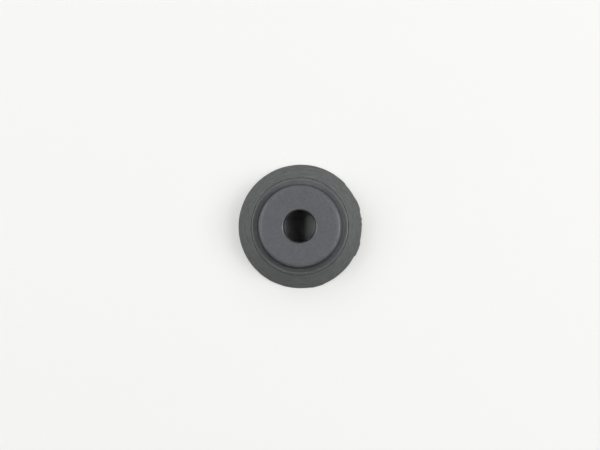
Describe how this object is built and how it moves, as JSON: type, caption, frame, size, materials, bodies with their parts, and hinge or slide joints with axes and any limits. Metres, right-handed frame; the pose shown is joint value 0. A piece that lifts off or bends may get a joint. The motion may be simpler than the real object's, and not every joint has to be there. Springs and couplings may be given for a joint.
{
  "type": "rubber dust cap",
  "caption": "Low bell-shaped black rubber cap with a raised flat crown, a central bore that wipes a tool's shank and a stepped hollow back that snaps onto a chuck's nose.",
  "frame": {"origin": "centre of the open mouth, on the face that the cap stands on", "axes": "+Z along the cap's axis, from the mouth to the crown; X and Y across it"},
  "size_m": [0.0382, 0.0382, 0.01],
  "materials": {
    "moulded_rubber": "satin moulded black rubber, smoother on the crown and duller on the flank"
  },
  "bodies": {
    "root": {"rubber_cap": "moulded_rubber"}
  },
  "joints": []
}
